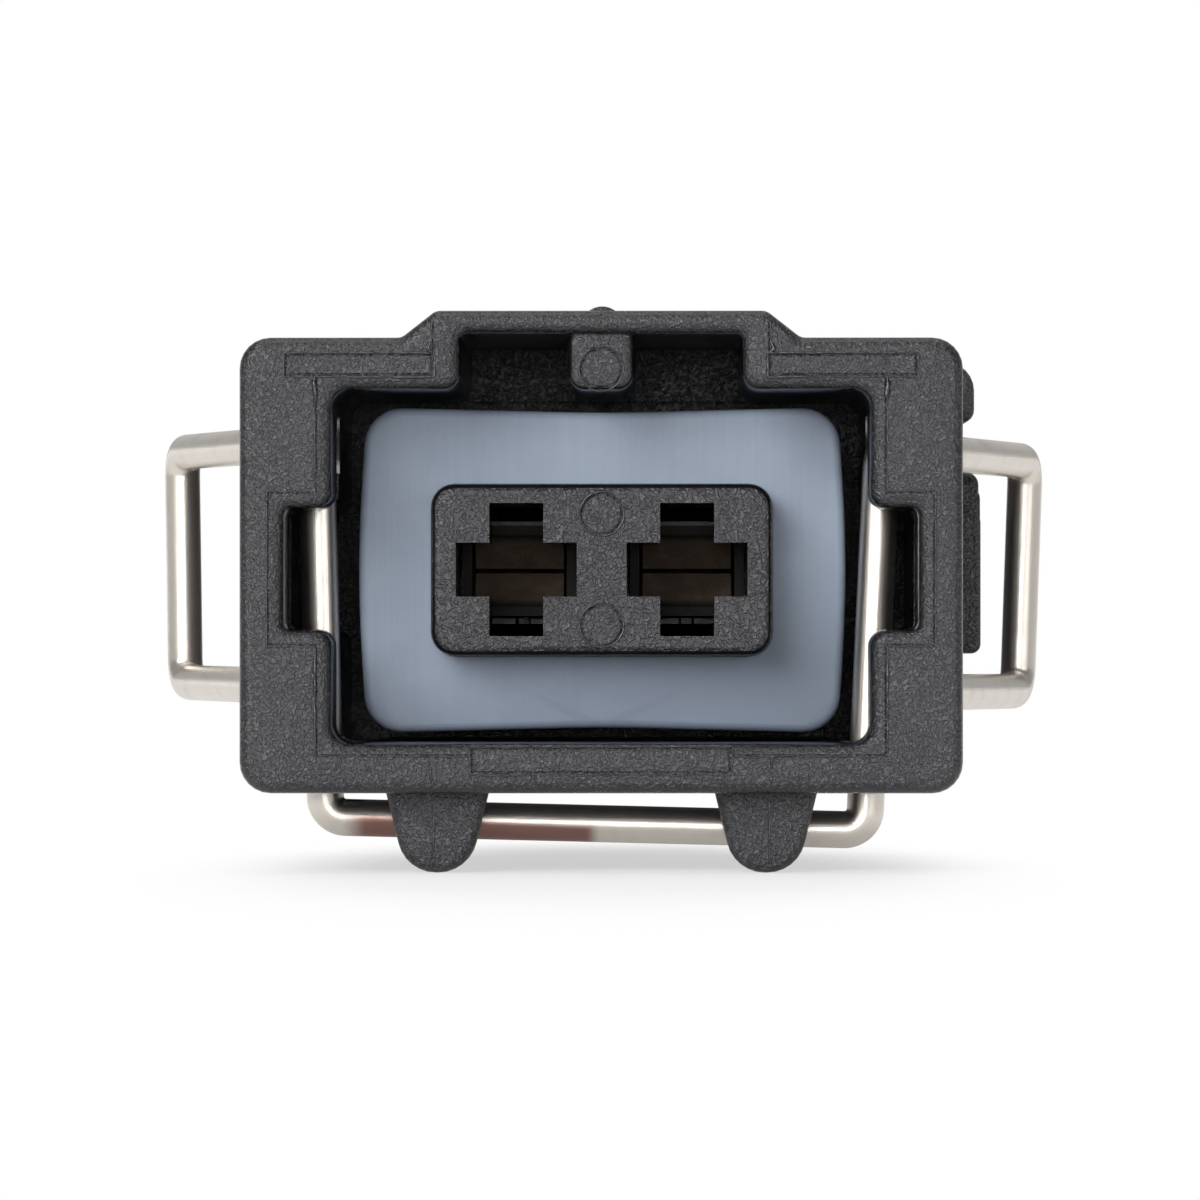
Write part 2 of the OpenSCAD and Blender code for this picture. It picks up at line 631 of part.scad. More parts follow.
module housing() {
    color([0.09, 0.09, 0.1])
        difference() {
            union() {
                difference() {
                    loft(hood_outline, concat(front_round(0, front_edge_r), rear_round(hood_len, shoulder_r)));
                    loft(socket_outline, concat([[-over, lip_r]], mouth_round(0, lip_r), [[cavity_depth, 0]]));
                }
                loft(tower_outline, concat(front_round(tower_set_back, small_edge_r), [[cavity_depth + over, 0]]));
                loft(rounded_box(-rib_w / 2, rib_w / 2, cavity_above, keyway_top + crown_wall / 2, mouth_r),
                    concat(front_round(rib_set_back, small_edge_r), [[cavity_depth + over, 0]]));
                loft(neck_outline, concat([[hood_len - shoulder_r - over, 0]],
                    rear_round(neck_end_y, small_edge_r)), round_steps);
                for (x = [-tongue_pitch / 2, tongue_pitch / 2])
                    tongue(x);
                rod_y(0, crown_top + pip_stand - pip_r, pip_set_back, pip_set_back + pip_len, pip_r);
                side_tab();
                lock_stop();
                block([-keyway_w / 2 - mouth_r, cavity_depth - keyway_short, cavity_above + least_r],
                    [keyway_w / 2 + mouth_r, cavity_depth + over, keyway_top + crown_wall / 2]);
                block([-mark_low_len / 2, insert_set_back, -cavity_below - lip_r - least_r],
                    [mark_low_len / 2, lip_r, -cavity_below - least_r]);
            }
            blade_openings();
            contact_chambers();
            lock_slot();
            loft(neck_outline, [[grommet_y, -neck_wall], [neck_end_y + over, -neck_wall]], round_steps);
            clip_channel(-1);
            clip_channel(1);
            face_marks(-1);
            face_marks(1);
            insert_mark(0, -cavity_below - mark_low_gap - mark_low_h / 2, mark_low_len, mark_low_h);
            for (z = [-1, 1])
                ejector_mark(z * (tower_h / 2 - small_edge_r - ejector_r), tower_set_back);
            ejector_mark(cavity_above + ejector_r, rib_set_back);
        }
}

module face_seal() {
    lip_end = seal_y + seal_lip_t;
    flange_y = cavity_depth - seal_flange_t;
    color([0.52, 0.57, 0.64])
        difference() {
            loft(seal_outline, concat(
                front_round(seal_y, seal_edge_r),
                rear_round(lip_end, seal_edge_r),
                rib_rings(lip_end + seal_edge_r, flange_y, seal_ribs, -seal_groove, -seal_groove / 2),
                [[flange_y, 0], [cavity_depth, 0]]));
            loft(tower_outline, [[seal_y - over, snug_gap], [cavity_depth + over, snug_gap]]);
        }
}

module spring_clip() {
    right = clip_side(1);
    left = clip_side(-1);
    path = concat([for (i = [4:-1:0]) left[i]], right);
    radii = [0, ear_bend_r, ear_bend_r, ear_bend_r, bar_bend_r,
        bar_bend_r, ear_bend_r, ear_bend_r, ear_bend_r, 0];
    color([0.78, 0.75, 0.7])
        wire(path, radii);
}

// Slider that stands behind both contact boxes: two prongs, two teeth and a head
module contact_lock() {
    tooth_x = chamber_w / 2 - tooth_w - slide_gap / 2;
    left_tooth = -contact_pitch / 2 + tooth_x;
    right_tooth = contact_pitch / 2 + tooth_x;
    left_end = -contact_pitch / 2 - chamber_w / 2;
    head_x = hood_w / 2 + slide_gap;
    color([0.1, 0.1, 0.11])
        union() {
            difference() {
                block([left_end, lock_y, -prong_top], [head_x + head_t / 2, lock_end_y, prong_top]);
                block([left_end - over, lock_y - over, -prong_low],
                    [left_tooth, lock_end_y + over, prong_low]);
                block([left_tooth + tooth_w, lock_y - over, -prong_low],
                    [right_tooth, lock_end_y + over, prong_low]);
            }
            loft(rounded_box(head_x, head_x + head_t, -head_below, head_above, head_corner_r),
                concat(front_round(lock_y, head_edge_r), rear_round(lock_end_y, head_edge_r)));
            translate([0, lock_y + shoulder_set_back, 0])
                rotate([90, 0, 0])
                    mirror([0, 0, 1])
                        linear_extrude(lock_t - shoulder_set_back)
                            polygon(concat(
                                [[head_x, head_above - over], [head_x + head_t, head_above - over]],
                                [for (i = [0:corner_steps]) let (a = 90 * i / corner_steps, r = head_shoulder / 2)
                                    [head_x + head_t - r + r * cos(a), head_above + head_shoulder - r + r * sin(a)]],
                                [[head_x, head_above + head_shoulder]]));
        }
}

// Folded contact at its own axis: box, blade springs, blade stop, strip and two barrels
module contact() {
    half_w = contact_w / 2;
    half_h = contact_h / 2;
    spring_y = contact_y + contact_t;
    spring_len = (box_end_y - contact_y) / 2;
    spring_w = contact_w - 2 * (contact_t + slide_gap);
    throat = contact_t / 4;
    inside = half_h - contact_t;
    difference() {
        block([-half_w, contact_y, -half_h], [half_w, box_end_y, half_h]);
        block([contact_t - half_w, contact_y - over, contact_t - half_h],
            [half_w - contact_t, box_end_y + over, half_h - contact_t]);
    }
    for (side = [-1, 1])
        mirror([0, 0, side < 0 ? 1 : 0])
            rotate([90, 0, 90])
                linear_extrude(spring_w, center = true)
                    polygon([
                        [spring_y, inside + contact_t / 2],
                        [spring_y, inside],
                        [spring_y + spring_lead, throat],
                        [spring_y + spring_len, inside],
                        [spring_y + spring_len, inside + contact_t / 2],
                        [spring_y + spring_len - contact_t, inside + contact_t / 2],
                        [spring_y + spring_lead, throat + contact_t],
                        [spring_y + contact_t, inside + contact_t / 2]]);
    strip_low = -half_h;
    stop_y = box_end_y - 4 * contact_t;
    block([contact_t / 2 - half_w, stop_y, contact_t / 2 - half_h],
        [half_w - contact_t / 2, stop_y + contact_t, inside - contact_t]);
    block([-strip_w / 2, box_end_y - contact_t, strip_low],
        [strip_w / 2, contact_end_y - insulation_barrel_len / 2, strip_low + contact_t]);
    barrel(conductor_y, conductor_barrel_len, conductor_barrel_r, strip_low + conductor_barrel_r);
    barrel(insulation_y, insulation_barrel_len, insulation_barrel_r, strip_low + insulation_barrel_r);
}

module barrel(y, length, r, z) {
    difference() {
        rod_y(0, z, y, y + length, r);
        rod_y(0, z, y - over, y + length + over, r - contact_t);
    }
}

// Steel sleeve round the contact box, with a seam below and a lance above and below
module contact_sleeve() {
    half_in = [contact_w / 2 + snug_gap, contact_h / 2 + snug_gap];
    half_out = half_in + [sleeve_t, sleeve_t];
    y1 = box_end_y - slide_gap;
    y0 = y1 - sleeve_len;
    lance_y = cavity_depth + 2 * slide_gap;
    difference() {
        block([-half_out.x, y0, -half_out.y], [half_out.x, y1, half_out.y]);
        block([-half_in.x, y0 - over, -half_in.y], [half_in.x, y1 + over, half_in.y]);
        block([-sleeve_t, y0 - over, -half_out.y - over], [sleeve_t, lance_y - sleeve_t, 0]);
    }
    for (side = [-1, 1])
        mirror([0, 0, side < 0 ? 1 : 0])
            rotate([90, 0, 90])
                linear_extrude(lance_w, center = true)
                    polygon([
                        [lance_y, half_in.y],
                        [lance_y + sleeve_t, half_in.y],
                        [lance_end_y, half_out.y + lance_rise - sleeve_t],
                        [lance_end_y, half_out.y + lance_rise],
                        [lance_y, half_out.y]]);
}

module contact_left() {
    color([0.62, 0.5, 0.34])
        translate([-contact_pitch / 2, 0, 0])
            contact();
}

module contact_right() {
    color([0.62, 0.5, 0.34])
        translate([contact_pitch / 2, 0, 0])
            contact();
}

module contact_sleeve_left() {
    color([0.7, 0.7, 0.72])
        translate([-contact_pitch / 2, 0, 0])
            contact_sleeve();
}

module contact_sleeve_right() {
    color([0.7, 0.7, 0.72])
        translate([contact_pitch / 2, 0, 0])
            contact_sleeve();
}

module wire_grommet() {
    lip = -neck_wall - snug_gap;
    flange = -neck_wall / 2;
    flange_y = neck_end_y + snug_gap;
    color([0.52, 0.57, 0.64])
        difference() {
            loft(neck_outline, concat(
                front_round(grommet_y + snug_gap, small_edge_r, lip),
                rib_rings(grommet_y + 2 * small_edge_r, flange_y - small_edge_r, grommet_lips,
                    lip - grommet_groove, lip),
                [[flange_y, lip], [flange_y, flange]],
                rear_round(flange_y + flange_t, small_edge_r, flange)), round_steps);
            for (x = [-contact_pitch / 2, contact_pitch / 2])
                rod_y(x, 0, grommet_y - over, flange_y + flange_t + over, wire_hole_r);
        }
}

housing();
face_seal();
spring_clip();
contact_lock();
contact_left();
contact_right();
contact_sleeve_left();
contact_sleeve_right();
wire_grommet();
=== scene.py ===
"""Looks of a two-way sealed connector: grained mouldings, rubber, contacts and a bent-wire clip."""

import math

import bmesh
import bpy
from bpy.props import FloatProperty, FloatVectorProperty, IntProperty, PointerProperty
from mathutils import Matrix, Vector


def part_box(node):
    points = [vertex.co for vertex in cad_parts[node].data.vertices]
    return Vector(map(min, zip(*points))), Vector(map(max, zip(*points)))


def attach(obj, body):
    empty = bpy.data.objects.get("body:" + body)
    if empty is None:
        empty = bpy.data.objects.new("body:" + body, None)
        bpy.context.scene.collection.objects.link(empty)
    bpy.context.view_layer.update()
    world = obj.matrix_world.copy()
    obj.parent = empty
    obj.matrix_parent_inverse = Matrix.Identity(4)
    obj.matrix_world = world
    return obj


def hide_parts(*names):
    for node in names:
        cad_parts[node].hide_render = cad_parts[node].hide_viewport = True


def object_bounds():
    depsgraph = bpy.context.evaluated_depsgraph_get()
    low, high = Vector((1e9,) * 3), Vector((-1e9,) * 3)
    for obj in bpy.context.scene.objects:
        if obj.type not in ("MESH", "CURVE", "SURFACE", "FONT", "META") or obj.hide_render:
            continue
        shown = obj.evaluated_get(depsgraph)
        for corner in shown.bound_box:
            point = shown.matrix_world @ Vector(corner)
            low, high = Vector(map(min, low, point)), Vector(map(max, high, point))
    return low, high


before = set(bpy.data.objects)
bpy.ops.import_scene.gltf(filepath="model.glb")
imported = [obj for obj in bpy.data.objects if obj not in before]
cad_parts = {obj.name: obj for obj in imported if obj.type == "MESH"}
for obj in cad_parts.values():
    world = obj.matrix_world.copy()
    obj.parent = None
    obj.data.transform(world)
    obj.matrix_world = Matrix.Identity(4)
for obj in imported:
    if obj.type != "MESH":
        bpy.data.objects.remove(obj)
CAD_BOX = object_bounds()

bl_info = {
    "name": "Two-way sealed connector",
    "version": (1, 0, 0),
    "blender": (4, 5, 0),
    "location": "View3D > Sidebar > Connector",
    "description": "Builds the mouldings, rubber, contacts and wire clip of a two-way sealed connector",
    "category": "Object",
}

MM = 0.001
WELD = 0.002 * MM
CRISP_ANGLE = math.radians(38)
FLOOR_LEVEL = CAD_BOX[0].z
LOCK_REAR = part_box("contact_lock")[1].y
HOOD_TOP_FRONT = 7.50 * MM

# Where the mould polished the plastic: on walls inside the socket, and less on the hood's front edge
SOCKET_LOW = Vector((-9.25, 0.15, -5.15)) * MM
SOCKET_HIGH = Vector((9.25, 15.2, 6.9)) * MM
SHOULDER_INSIDE = 6.0 * MM
FACING_UP = 0.2
FACING_FRONT = 0.99
POLISH_RISE = 8.0
FRONT_EDGE = 0.35 * MM
FRONT_EDGE_POLISH = 0.6

# Spans over which the painted shade on the seal, the painted reflection on the bar and the contacts' bare metal
# begin or end
PAINTED_SHADE_LEVEL = (-4.6 * MM, 0.4 * MM)
PAINTED_SHADE_LEAN = 0.25
PAINTED_SHADE_STRAY = 0.6 * MM
REFLECTION_LEFT = (-7.7 * MM, -6.9 * MM)
REFLECTION_RIGHT = (-0.5 * MM, 0.0)
REFLECTION_LEVEL = (-7.68 * MM, -7.44 * MM)
REFLECTION_SLANT = 0.05
BARE_LEVEL = (1.0 * MM, 1.3 * MM)
BARE_DEPTH = (7.3 * MM, 7.6 * MM)

# Depths of the materials' relief
GRAIN_RELIEF = 0.033 * MM
RUBBER_RELIEF = 0.006 * MM
WIRE_RELIEF = 0.008 * MM
SHEET_RELIEF = 0.006 * MM

# Roundings of the pieces' edges, and how far the clip may be from its solid
LOCK_ROUND = 0.06 * MM
CONTACT_ROUND = 0.04 * MM
SLEEVE_ROUND = 0.03 * MM
CLIP_DRIFT = 0.05 * MM

# Girths of the clip's free ends and of the flash lines that are even
TIP_GIRTH = 0.8
LINE_GIRTH = 0.6
WINDOW_GIRTH = 0.45

# Ejector marks in millimetres: their radius, and the depth and level of their middles
MARK_RADIUS = 0.65
MARK_STEPS = 36
MARKS = ((2.2, 1.63), (2.2, -1.63), (0.4, 5.82))

# The floor is grey in an ellipse under the object and fades to white round it
FLOOR_REACH = 0.6
GREY_ACROSS = 13.5 * MM
GREY_ALONG = 48 * MM
GREY_FADE = (0.45, 1.05)
FLOOR_GREY = (0.42, 0.42, 0.42, 1.0)
FLOOR_LIFT = 0.58

# The white surroundings by direction: dim behind the camera, half white at the sides, full behind the object
SIDE_TURN = (-0.6, 0.2)
BACK_TURN = (0.80, 0.96)
WHITE = (1.0, 1.0, 1.0, 1.0)

# Lamps: name, place and width in metres, watts, and whether glossy surfaces mirror it
LAMPS = (
    ("key_softbox", (-0.29, -0.52, 0.25), 0.42, 3.3, True),
    ("right_softbox", (0.39, -0.50, 0.08), 0.28, 0.7, True),
    ("front_panel", (0.0, -0.64, 0.0), 0.60, 0.6, True),
    ("front_lamp", (0.0, -0.63, 0.0), 0.12, 0.70, True),
    ("top_softbox", (0.0, 0.02, 0.60), 0.60, 1.3, True),
    ("rear_softbox", (0.0, 0.52, 0.26), 0.50, 2.2, False),
    ("rear_left", (-0.46, 0.63, 0.0), 0.12, 0.10, True),
    ("rear_right", (0.46, 0.63, 0.0), 0.12, 0.07, True),
)


def size(name, description, millimetres):
    """A length property whose default is written in millimetres."""
    return FloatProperty(
        name=name, description=description, default=millimetres * MM, unit="LENGTH", subtype="DISTANCE", precision=6
    )


def angle(name, description, degrees):
    """An angle property whose default is written in degrees."""
    return FloatProperty(name=name, description=description, default=math.radians(degrees), subtype="ANGLE")


def number(name, description, default):
    """A property without a unit."""
    return FloatProperty(name=name, description=description, default=default)


def location(name, description, default):
    """A property for a place in metres."""
    return FloatVectorProperty(name=name, description=description, default=default, unit="LENGTH")


def colour(name, description, red, green, blue):
    """A colour property with linear red, green and blue."""
    return FloatVectorProperty(
        name=name, description=description, default=(red, green, blue, 1.0), size=4, min=0, max=1, subtype="COLOR"
    )


class ClipSizes(bpy.types.PropertyGroup):
    """Sizes of the bent-wire locking clip."""

    wire: size("Wire diameter", "Thickness of the round spring wire", 1.10)
    leg_x: size("Leg distance", "Distance of each leg from the middle at the contacts' level", 8.21)
    leg_set_back: size("Leg set-back", "Depth of the legs behind the mating face", 4.0)
    leg_lean: angle("Leg lean", "Outward lean of each leg from upright", 2.1)
    bar_level: size("Bar level", "Height of the cross bar below the contacts", 7.47)
    bar_slant: size("Bar slant", "Difference in height between the bar's ends", 0.22)
    bar_bend: size("Bar bend", "Bend radius at the ends of the bar", 0.62)
    ear_level: size("Ear level", "Height of the ears' top and bottom runs from the contacts", 3.55)
    ear_rise: size("Ear rise", "How much further the top runs are from the contacts", 0.15)
    ear_x: size("Ear reach", "Distance of each ear's upright from the middle", 13.2)
    ear_behind: size("Ear set-back", "Depth of the ears' uprights behind the contact lock", 1.0)
    ear_splay: size("Ear splay", "Lean of the ears' uprights over their height", 0.18)
    ear_bend: size("Ear bend", "Bend radius of the ears", 0.76)
    tail_start: size("Tail length", "Distance of the free ends behind the legs", 3.5)
    shift: size("Clip shift", "Sideways play that the clip has taken up", 0.13)
    roll: angle("Clip roll", "Turn that the clip has taken up", 0.6)


class FlashSizes(bpy.types.PropertyGroup):
    """Sizes of the thin flash along the mould's parting lines."""

    ridge: size("Ridge radius", "Radius of a flash ridge of girth 1", 0.070)
    sink: size("Ridge sink", "Depth of the ridge's centre line under the surface", 0.006)
    wobble: size("Wobble", "Largest sideways stray of a parting line", 0.03)
    step: size("Step", "Distance between the points along a parting line", 0.05)
    seed: IntProperty(name="Seed", description="Pattern of the stray and of the thin places", default=7)


class Finishes(bpy.types.PropertyGroup):
    """Colours of the materials."""

    plastic: colour("Plastic", "Black glass-filled plastic of the mouldings", 0.004, 0.004, 0.005)
    plastic_worn: colour("Rubbed plastic", "Paler tone on the plastic's high grain and flash", 0.160, 0.160, 0.165)
    rubber: colour("Rubber", "Blue-grey rubber of the seal", 0.300, 0.358, 0.450)
    rubber_pale: colour("Streaked rubber", "Paler streaks in the rubber", 0.345, 0.405, 0.497)
    # Painted shade: a darker rubber colour towards the seal's lower right stands in for shade there
    rubber_painted_shade: colour("Painted shade on rubber", "Darker rubber towards the seal's lower right", 0.185, 0.222, 0.288)
    nickel: colour("Wire", "Bright plating of the spring wire", 0.740, 0.690, 0.625)
    nickel_dull: colour("Dulled wire", "Duller places on the spring wire", 0.520, 0.470, 0.410)
    bronze: colour("Contact", "Bronze of the contacts", 0.245, 0.178, 0.127)
    tarnish: colour("Tarnish", "Brown tarnish over the contacts", 0.012, 0.009, 0.007)
    steel: colour("Sleeve", "Spring steel of the contact sleeves", 0.300, 0.300, 0.310)
    steel_dull: colour("Dulled sleeve", "Duller places on the sleeves", 0.090, 0.090, 0.095)
    # Painted reflection: a red-brown colour on the bar's left half stands in for a mirrored red object
    painted_reflection: colour("Painted reflection", "Red-brown stain on the left half of the clip's bar", 0.200, 0.066, 0.048)
    grain: size("Grain", "Spacing of the moulded grain", 0.118)


class StageSizes(bpy.types.PropertyGroup):
    """Camera and white surroundings."""

    camera_at: location("Camera", "Place of the camera", (0.0020, -0.240, -0.00186))
    camera_aim: location("Aim", "Point that the camera looks at", (-0.00003, 0.0, -0.00090))
    lens: number("Lens", "Focal length of the camera in millimetres", 248.4)
    ambient: number("Ambient", "Strength of the even light from all sides", 0.12)
    camera_side: number("Camera side", "Share of the white that shows on the camera's side", 0.15)
    flank: number("Flank", "Share of the white that shows beside the object", 0.45)
    mirrored: number("Mirrored", "Share of the white surroundings that glossy surfaces mirror", 0.65)


class Field:
    """A socket that varies; arithmetic on it adds Math nodes."""

    def __init__(self, graph, socket):
        self.graph = graph
        self.socket = socket

    def math(self, operation, first, second=0.0):
        return self.graph.node("ShaderNodeMath", {"operation": operation}, {0: first, 1: second})

    def __add__(self, other):
        return self.math("ADD", self, other)

    def __radd__(self, other):
        return self.math("ADD", other, self)

    def __sub__(self, other):
        return self.math("SUBTRACT", self, other)

    def __rsub__(self, other):
        return self.math("SUBTRACT", other, self)

    def __mul__(self, other):
        return self.math("MULTIPLY", self, other)

    def __rmul__(self, other):
        return self.math("MULTIPLY", other, self)

    def __abs__(self):
        return self.math("ABSOLUTE", self)


class Graph:
    """A node tree, every node of which comes from one method."""

    def __init__(self, tree):
        self.tree = tree
        tree.nodes.clear()

    def node(self, kind, settings=None, sockets=None, output=0):
        """Adds a node, makes its settings, gives its sockets values or links and returns one of its outputs."""
        made = self.tree.nodes.new(kind)
        for name, value in (settings or {}).items():
            setattr(made, name, value)
        for key, value in (sockets or {}).items():
            socket = self.socket(made.inputs, key)
            if isinstance(value, Field):
                self.tree.links.new(value.socket, socket)
            else:
                socket.default_value = value
        return Field(self, self.socket(made.outputs, output)) if made.outputs else made

    @staticmethod
    def socket(sockets, key):
        """The socket at a place in the list, or with an identifier or a name."""
        if isinstance(key, int):
            return sockets[key]
        return next(s for s in sockets if key in (s.identifier, s.name))

    def between(self, value, low, high, to_low=0.0, to_high=1.0):
        """Eases a value from one span to another."""
        return self.node(
            "ShaderNodeMapRange",
            {"interpolation_type": "SMOOTHSTEP"},
            {"Value": value, "From Min": low, "From Max": high, "To Min": to_low, "To Max": to_high},
        )

    def stretched(self, vector, by, offset=(0.0, 0.0, 0.0)):
        """A vector multiplied part by part and moved."""
        return self.node("ShaderNodeVectorMath", {"operation": "MULTIPLY_ADD"}, {0: vector, 1: by, 2: offset})

    def noise(self, vector, detail=2.0, rough=0.5, distortion=0.0):
        """Noise with about one feature to a unit."""
        return self.node(
            "ShaderNodeTexNoise",
            None,
            {"Vector": vector, "Scale": 1.0, "Detail": detail, "Roughness": rough, "Distortion": distortion},
        )

    def mixed(self, factor, first, second):
        """A colour between two."""
        return self.node(
            "ShaderNodeMix",
            {"data_type": "RGBA"},
            {"Factor_Float": factor, "A_Color": first, "B_Color": second},
            "Result_Color",
        )


class Finish(Graph):
    """A material with one Principled shader."""

    def __init__(self, name, seed):
        self.material = bpy.data.materials.new(name)
        self.material.use_nodes = True
        super().__init__(self.material.node_tree)
        self.seed = (3.1 * seed, 5.7 * seed, 1.9 * seed)
        self.coordinates = self.node("ShaderNodeTexCoord", None, None, "Object")

    def place(self, spacing):
        """Object coordinates counted in a spacing, which is one length or three."""
        steps = spacing if isinstance(spacing, tuple) else (spacing,) * 3
        return self.stretched(self.coordinates, tuple(1.0 / step for step in steps), self.seed)

    def parts(self, axes):
        """The object coordinates along each of the named axes."""
        return [self.node("ShaderNodeSeparateXYZ", None, {"Vector": self.coordinates}, axis) for axis in axes]

    def surface(self, height, depth, **sockets):
        """Ends the material in a shader whose normal follows a height of a given depth."""
        normal = self.node("ShaderNodeBump", None, {"Strength": 1.0, "Distance": depth, "Height": height})
        values = {name.replace("_", " "): value for name, value in sockets.items()}
        shader = self.node("ShaderNodeBsdfPrincipled", None, {"Normal": normal, **values})
        self.node("ShaderNodeOutputMaterial", None, {"Surface": shader})
        return self.material


def grained_plastic(name, finishes, seed, rubbed=0.0):
    """Black moulded plastic with a spark-eroded grain of short worm-like ridges, polished on the socket's walls."""
    finish = Finish(name, seed)
    polish = finish.node("ShaderNodeAttribute", {"attribute_name": "polish"}, None, "Fac")
    contour = abs(finish.noise(finish.place(finishes.grain), 0.0, 0.5, 0.5) - 0.5)
    breaks = finish.between(finish.noise(finish.place(finishes.grain * 1.1), 1.0), 0.40, 0.54)
    worms = finish.between(contour, 0.0, 0.30, 1.0, 0.0) * breaks
    pits = finish.noise(finish.place(finishes.grain * 0.35), 2.0, 0.55)
    cloud = finish.noise(finish.place(1.6 * MM), 3.0, 0.6)
    grained = 1.0 - polish * 0.9
    crests = worms * grained
    flecks = finish.between(pits, 0.4, 0.8) * 0.03 + finish.between(cloud, 0.3, 0.75) * 0.02
    tone = crests * 0.21 + flecks + rubbed
    return finish.surface(
        (worms * 0.8 + pits * 0.5) * grained,
        GRAIN_RELIEF,
        Base_Color=finish.mixed(tone, tuple(finishes.plastic), tuple(finishes.plastic_worn)),
        Roughness=0.44 - crests * 0.06 - cloud * 0.06 - polish * 0.19,
        Specular_IOR_Level=0.75,
        Specular_Tint=(0.97, 0.96, 1.0, 1.0),
    )


def streaked_rubber(name, finishes, seed):
    """Silicone rubber with faint upright streaks, a dusty bloom and painted shade that darkens its lower right."""
    finish = Finish(name, seed)
    across, level = finish.parts("XZ")
    streaks = finish.noise(finish.place((0.10 * MM, 0.35 * MM, 2.6 * MM)), 3.0, 0.6)
    bloom = finish.noise(finish.place(0.9 * MM), 4.0, 0.6)
    pores = finish.noise(finish.place(0.06 * MM), 2.0, 0.5)
    tone = finish.between(streaks, 0.3, 0.75) * 0.45 + finish.between(bloom, 0.35, 0.8) * 0.4
    # Painted shade: darkens the rubber's colour towards the seal's lower right, standing in for shade
    painted_shade = finish.between(level - across * PAINTED_SHADE_LEAN + bloom * PAINTED_SHADE_STRAY, *PAINTED_SHADE_LEVEL, 0.95, 0.0)
    clean = finish.mixed(tone, tuple(finishes.rubber), tuple(finishes.rubber_pale))
    return finish.surface(
        streaks * 0.4 + pores * 0.25 + bloom * 0.4,
        RUBBER_RELIEF,
        Base_Color=finish.mixed(painted_shade, clean, tuple(finishes.rubber_painted_shade)),
        Roughness=0.68 - streaks * 0.16 - bloom * 0.1,
    )


def drawn_wire(name, finishes, seed):
    """Plated spring wire with fine drawing lines along its length and a painted reflection, a red-brown tint low on
    the bar's left half.
    """
    finish = Finish(name, seed)
    across, level = finish.parts("XZ")
    # Painted reflection: a red-brown tint low on the bar's left half stands in for a mirrored red object
    left_half = finish.between(across, *REFLECTION_LEFT) * finish.between(across, *REFLECTION_RIGHT, 1.0, 0.0)
    reflection_mask = left_half * finish.between(level + across * REFLECTION_SLANT, *REFLECTION_LEVEL, 0.85, 0.0)
    rim = finish.node("ShaderNodeAttribute", {"attribute_name": "rim"}, None, "Vector")
    along = finish.node("ShaderNodeAttribute", {"attribute_name": "along"}, None, "Fac")
    run = finish.node("ShaderNodeCombineXYZ", None, {"X": 0.0, "Y": 0.0, "Z": along})
    coordinates = finish.node("ShaderNodeVectorMath", {"operation": "ADD"}, {0: rim, 1: run})
    lines = finish.noise(finish.stretched(coordinates, (13.0, 13.0, 0.25 / MM), finish.seed), 3.0, 0.6)
    stains = finish.noise(finish.place(1.1 * MM), 4.0, 0.62)
    dulled = finish.between(stains, 0.5, 0.78) * 0.4 + finish.between(lines, 0.55, 0.8) * 0.22
    plated = finish.mixed(dulled, tuple(finishes.nickel), tuple(finishes.nickel_dull))
    return finish.surface(
        lines * 0.6 + stains * 0.5,
        WIRE_RELIEF,
        Base_Color=finish.mixed(reflection_mask, plated, tuple(finishes.painted_reflection)),
        Roughness=0.20 + lines * 0.14 + stains * 0.12,
        Metallic=1.0,
    )


def rolled_metal(name, base, dull, seed, rough, metallic):
    """Stamped sheet metal with rolling lines, dull apart from where a blade rubs it bare."""
    finish = Finish(name, seed)
    depth, level = finish.parts("YZ")
    lines = finish.noise(finish.place((0.05 * MM, 1.2 * MM, 0.05 * MM)), 2.0, 0.5)
    patches = finish.noise(finish.place(0.7 * MM), 4.0, 0.6)
    bare = finish.between(abs(level), *BARE_LEVEL, 1.0, 0.0) * finish.between(depth, *BARE_DEPTH)
    dulled = 1.0 - bare * (0.75 - finish.between(patches, 0.25, 0.65) * 0.25 - lines * 0.2)
    return finish.surface(
        lines,
        SHEET_RELIEF,
        Base_Color=finish.mixed(dulled, tuple(base), tuple(dull)),
        Roughness=rough + lines * 0.14 + patches * 0.12,
        Metallic=metallic,
    )


def polished(face):
    """1 on the walls and roundings that the mould's core drew inside the socket, less on the hood's front edge."""
    centre = face.calc_center_median()
    turned = min(1.0, max(0.0, POLISH_RISE * (FACING_FRONT - abs(face.normal.y))))
    outer_top = centre.z > SHOULDER_INSIDE and face.normal.z > FACING_UP
    if not outer_top and all(low < part < high for low, part, high in zip(SOCKET_LOW, centre, SOCKET_HIGH)):
        return turned
    return FRONT_EDGE_POLISH * turned if 0.0 < centre.y < FRONT_EDGE else 0.0


def placed(name, data):
    """A new object in the scene."""
    made = bpy.data.objects.new(name, data)
    bpy.context.scene.collection.objects.link(made)
    return made


def welded(node, name, material):
    """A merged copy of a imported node's mesh that is smooth apart from its crisp edges."""
    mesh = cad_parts[node].data.copy()
    mesh.name = name
    work = bmesh.new()
    work.from_mesh(mesh)
    bmesh.ops.remove_doubles(work, verts=work.verts, dist=WELD)
    polish = work.faces.layers.float.new("polish")
    for face in work.faces:
        face.smooth = True
        face.material_index = 0
        face[polish] = polished(face)
    for edge in work.edges:
        edge.smooth = edge.is_manifold and edge.calc_face_angle(math.pi) < CRISP_ANGLE
    work.to_mesh(mesh)
    work.free()
    mesh.materials.clear()
    mesh.materials.append(material)
    return placed(name, mesh)


